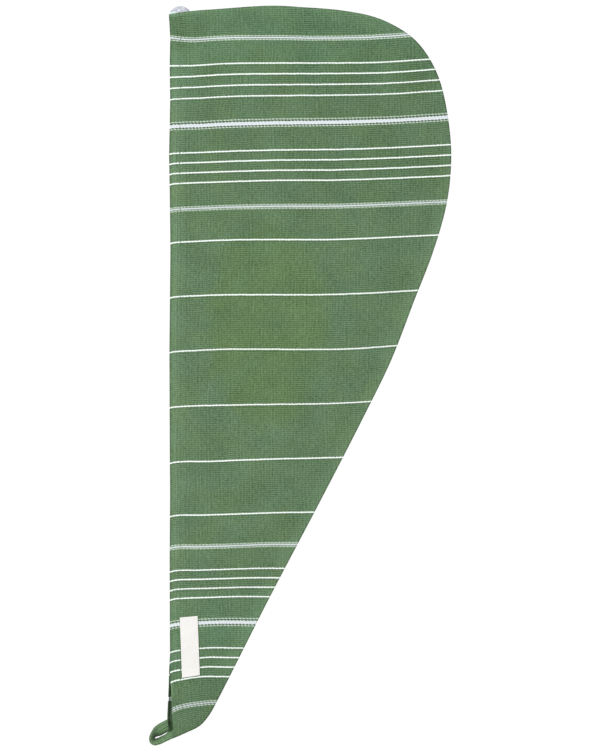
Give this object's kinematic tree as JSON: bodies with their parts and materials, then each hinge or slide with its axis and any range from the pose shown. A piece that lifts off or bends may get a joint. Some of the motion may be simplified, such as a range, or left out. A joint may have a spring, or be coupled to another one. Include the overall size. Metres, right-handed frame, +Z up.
{
  "type": "hair towel",
  "caption": "Flat-woven striped cotton hair wrap lying flat: open along its straight edge, tapering to a tail, with a strip loop at one corner and a button at the other.",
  "frame": {"origin": "middle of the footprint, on the surface that the towel lies on", "axes": "+Y along the open edge from the tail to the wide end, +X from the open edge to the curved edge, +Z up through the cloth"},
  "size_m": [0.2686, 0.6578, 0.0119],
  "materials": {
    "striped_cotton": "plain-woven cotton, sage green with white and pale blue-grey weft stripes",
    "loop_cotton": "the same cotton folded into a narrow stitched strip",
    "sewing_thread": "matt green sewing thread",
    "pearl_plastic": "pearly white, glossy",
    "label_cotton": "cream woven tape, bare"
  },
  "bodies": {
    "root": {"front_panel": "striped_cotton", "back_panel": "striped_cotton", "loop": "loop_cotton", "button": "pearl_plastic", "button_thread": "sewing_thread", "label": "label_cotton"}
  },
  "joints": []
}
